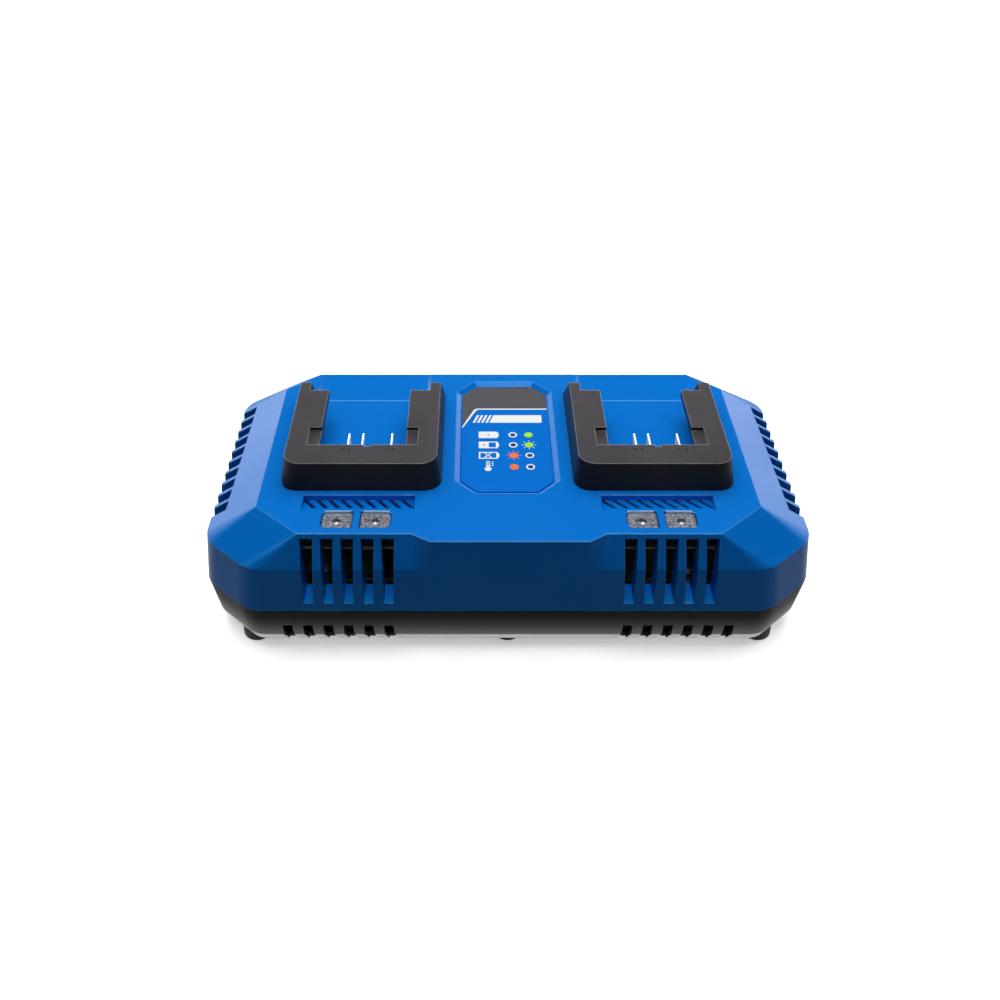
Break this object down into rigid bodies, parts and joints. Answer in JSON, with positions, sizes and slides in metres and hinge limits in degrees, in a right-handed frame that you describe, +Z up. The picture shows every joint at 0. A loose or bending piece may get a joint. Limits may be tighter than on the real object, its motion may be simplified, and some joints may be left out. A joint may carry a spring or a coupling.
{
  "type": "battery charger",
  "caption": "Bench charger for slide-on power tool batteries, with a vented faceted housing, U-shaped docks, light windows and an internal fan.",
  "frame": {"origin": "centre of the footprint, at the underside of the rubber feet", "axes": "+X to the right along the row of docks, +Z up, -Y towards the side with the lights"},
  "size_m": [0.3182, 0.1786, 0.0915],
  "materials": {
    "blue_shell": "fine moulded grain, satin",
    "black_base": "fine moulded grain, matte",
    "dock_plastic": "fine moulded grain, matte",
    "contact_metal": "bright plated",
    "window_clear": "frosted clear",
    "label_film": "printed film, satin",
    "board": "solder mask, satin",
    "can_sleeve": "shrunk sleeve",
    "epoxy": "moulded epoxy",
    "copper_winding": "enamelled wire",
    "fuse_glass": "clear tube with metal caps",
    "connector_plastic": "moulded nylon",
    "fan_plastic": "moulded, matte",
    "rubber": "matte",
    "screw_steel": "zinc plated",
    "led_lens": "moulded lens",
    "wire_jacket": "insulated lead",
    "ferrite": "sintered, matte",
    "tape": "wound tape",
    "sink_metal": "extruded"
  },
  "bodies": {
    "charger": {"upper_housing": "blue_shell", "lower_housing": "black_base", "label_overlay": "label_film", "main_board": "board", "bulk_capacitors": "can_sleeve", "output_capacitors": "can_sleeve", "power_transistors": "epoxy", "mains_choke": "copper_winding", "fuse": "fuse_glass", "board_connectors": "connector_plastic", "fan_frame": "fan_plastic", "rubber_feet": "rubber", "cord_gland": "rubber", "housing_screws": "screw_steel", "board_screws": "screw_steel", "light_board_screws": "screw_steel", "block_screws": "screw_steel", "dock_screws": "screw_steel", "dock_frame_left": "dock_plastic", "terminal_block_left": "dock_plastic", "contact_blades_left": "contact_metal", "light_shroud_left": "dock_plastic", "light_board_left": "board", "status_leds_left": "led_lens", "output_harness_left": "wire_jacket", "transformer_core_left": "ferrite", "transformer_winding_left": "tape", "heat_sink_left": "sink_metal", "dock_frame_right": "dock_plastic", "terminal_block_right": "dock_plastic", "contact_blades_right": "contact_metal", "light_shroud_right": "dock_plastic", "light_board_right": "board", "status_leds_right": "led_lens", "output_harness_right": "wire_jacket", "transformer_core_right": "ferrite", "transformer_winding_right": "tape", "heat_sink_right": "sink_metal", "light_window_left_outer": "window_clear", "light_window_left_inner": "window_clear", "light_window_right_inner": "window_clear", "light_window_right_outer": "window_clear"},
    "fan": {"fan_rotor": "fan_plastic"}
  },
  "joints": [
    {"name": "fan_spin", "type": "hinge", "parent": "charger", "child": "fan", "pos_m": [0.134, 0, 0.0302], "axis": [1, 0, 0], "continuous": true}
  ]
}
